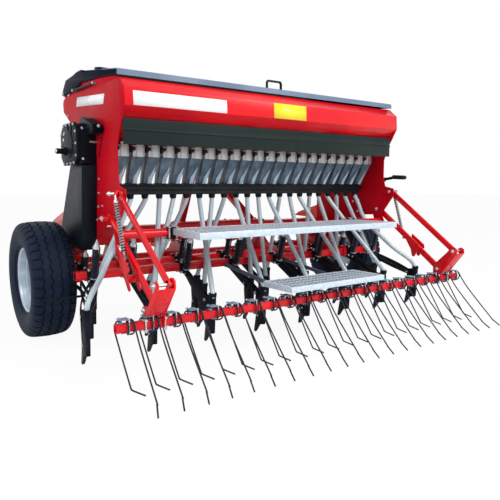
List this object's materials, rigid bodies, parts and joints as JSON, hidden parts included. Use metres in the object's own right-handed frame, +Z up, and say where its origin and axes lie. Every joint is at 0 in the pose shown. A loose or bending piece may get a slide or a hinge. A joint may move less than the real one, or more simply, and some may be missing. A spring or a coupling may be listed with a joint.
{
  "type": "seed drill",
  "caption": "Tractor-mounted mechanical seed drill with a lidded hopper, seed tubes, sprung coulters in three ranks, running boards, ground wheels and a following tine harrow.",
  "frame": {"origin": "on the ground, in the middle of the whole width and of the whole length", "axes": "+Y is the way the drill travels, +X its right side, +Z up"},
  "size_m": [3, 2.0974, 1.694],
  "materials": {
    "red_paint": "gloss red enamel",
    "black_paint": "satin black",
    "spring_steel": "black spring steel",
    "galvanised": "galvanised sheet",
    "zinc_steel": "zinc-plated steel",
    "clear_plastic": "translucent plastic",
    "plate_white": "blank plates",
    "plate_yellow": "blank plate",
    "tyre": "rubber",
    "rim_silver": "silver paint"
  },
  "bodies": {
    "chassis": {"adjuster": "black_paint", "arm_pins": "zinc_steel", "board_brackets": "galvanised", "board_tube": "red_paint", "centre_plate": "plate_yellow", "cheeks": "red_paint", "chutes": "clear_plastic", "coulter_springs": "spring_steel", "coulter_tubes": "red_paint", "coulters": "black_paint", "crank": "black_paint", "drive_cover": "black_paint", "drive_shafts": "zinc_steel", "funnel_bar": "black_paint", "funnel_cups": "black_paint", "gearbox": "black_paint", "gearbox_cover": "black_paint", "hangers": "red_paint", "harrow_springs": "zinc_steel", "headstock": "red_paint", "hitch_pins": "zinc_steel", "hopper": "red_paint", "lid_pins": "zinc_steel", "main_beam": "red_paint", "name_plates": "plate_white", "running_boards": "galvanised", "scrapers": "black_paint", "seed_housings": "galvanised", "seed_tubes": "zinc_steel", "wheel_legs": "red_paint"},
    "lid": {"lid": "black_paint", "lid_handle": "black_paint"},
    "flap": {"flap": "black_paint"},
    "wheel_left": {"tyre_left": "tyre", "rim_left": "rim_silver"},
    "wheel_right": {"tyre_right": "tyre", "rim_right": "rim_silver"},
    "lower_arms": {"harrow_lower_arms": "red_paint"},
    "upper_arms": {"harrow_upper_arms": "red_paint"},
    "harrow": {"harrow_bar": "red_paint", "harrow_brackets": "red_paint", "harrow_pins": "zinc_steel", "tine_coils": "spring_steel", "tine_clamps": "galvanised", "tines": "spring_steel"}
  },
  "joints": [
    {"name": "lid_hinge", "type": "hinge", "parent": "chassis", "child": "lid", "pos_m": [0, 0.7837, 1.587], "axis": [-1, 0, 0], "range_deg": [0, 70]},
    {"name": "flap_hinge", "type": "hinge", "parent": "chassis", "child": "flap", "pos_m": [0, -0.1773, 1.333], "axis": [-1, 0, 0], "range_deg": [0, 60]},
    {"name": "wheel_left_spin", "type": "hinge", "parent": "chassis", "child": "wheel_left", "pos_m": [-1.368, 0.5787, 0.372], "axis": [1, 0, 0], "continuous": true},
    {"name": "wheel_right_spin", "type": "hinge", "parent": "chassis", "child": "wheel_right", "pos_m": [1.368, 0.5787, 0.372], "axis": [1, 0, 0], "continuous": true},
    {"name": "harrow_lift", "type": "hinge", "parent": "chassis", "child": "lower_arms", "pos_m": [0, -0.0573, 0.787], "axis": [-1, 0, 0], "range_deg": [-8, 2], "deforming": ["harrow_springs"]},
    {"name": "upper_arm_swing", "type": "hinge", "parent": "chassis", "child": "upper_arms", "pos_m": [0, -0.1813, 0.926], "axis": [-1, 0, 0], "range_deg": [-8, 2]},
    {"name": "harrow_level", "type": "hinge", "parent": "lower_arms", "child": "harrow", "pos_m": [0, -0.6403, 0.369], "axis": [-1, 0, 0], "range_deg": [-2, 8]}
  ],
  "couplings": [
    {"joint": "upper_arm_swing", "follows": "harrow_lift", "ratio": 1},
    {"joint": "harrow_level", "follows": "harrow_lift", "ratio": -1}
  ]
}
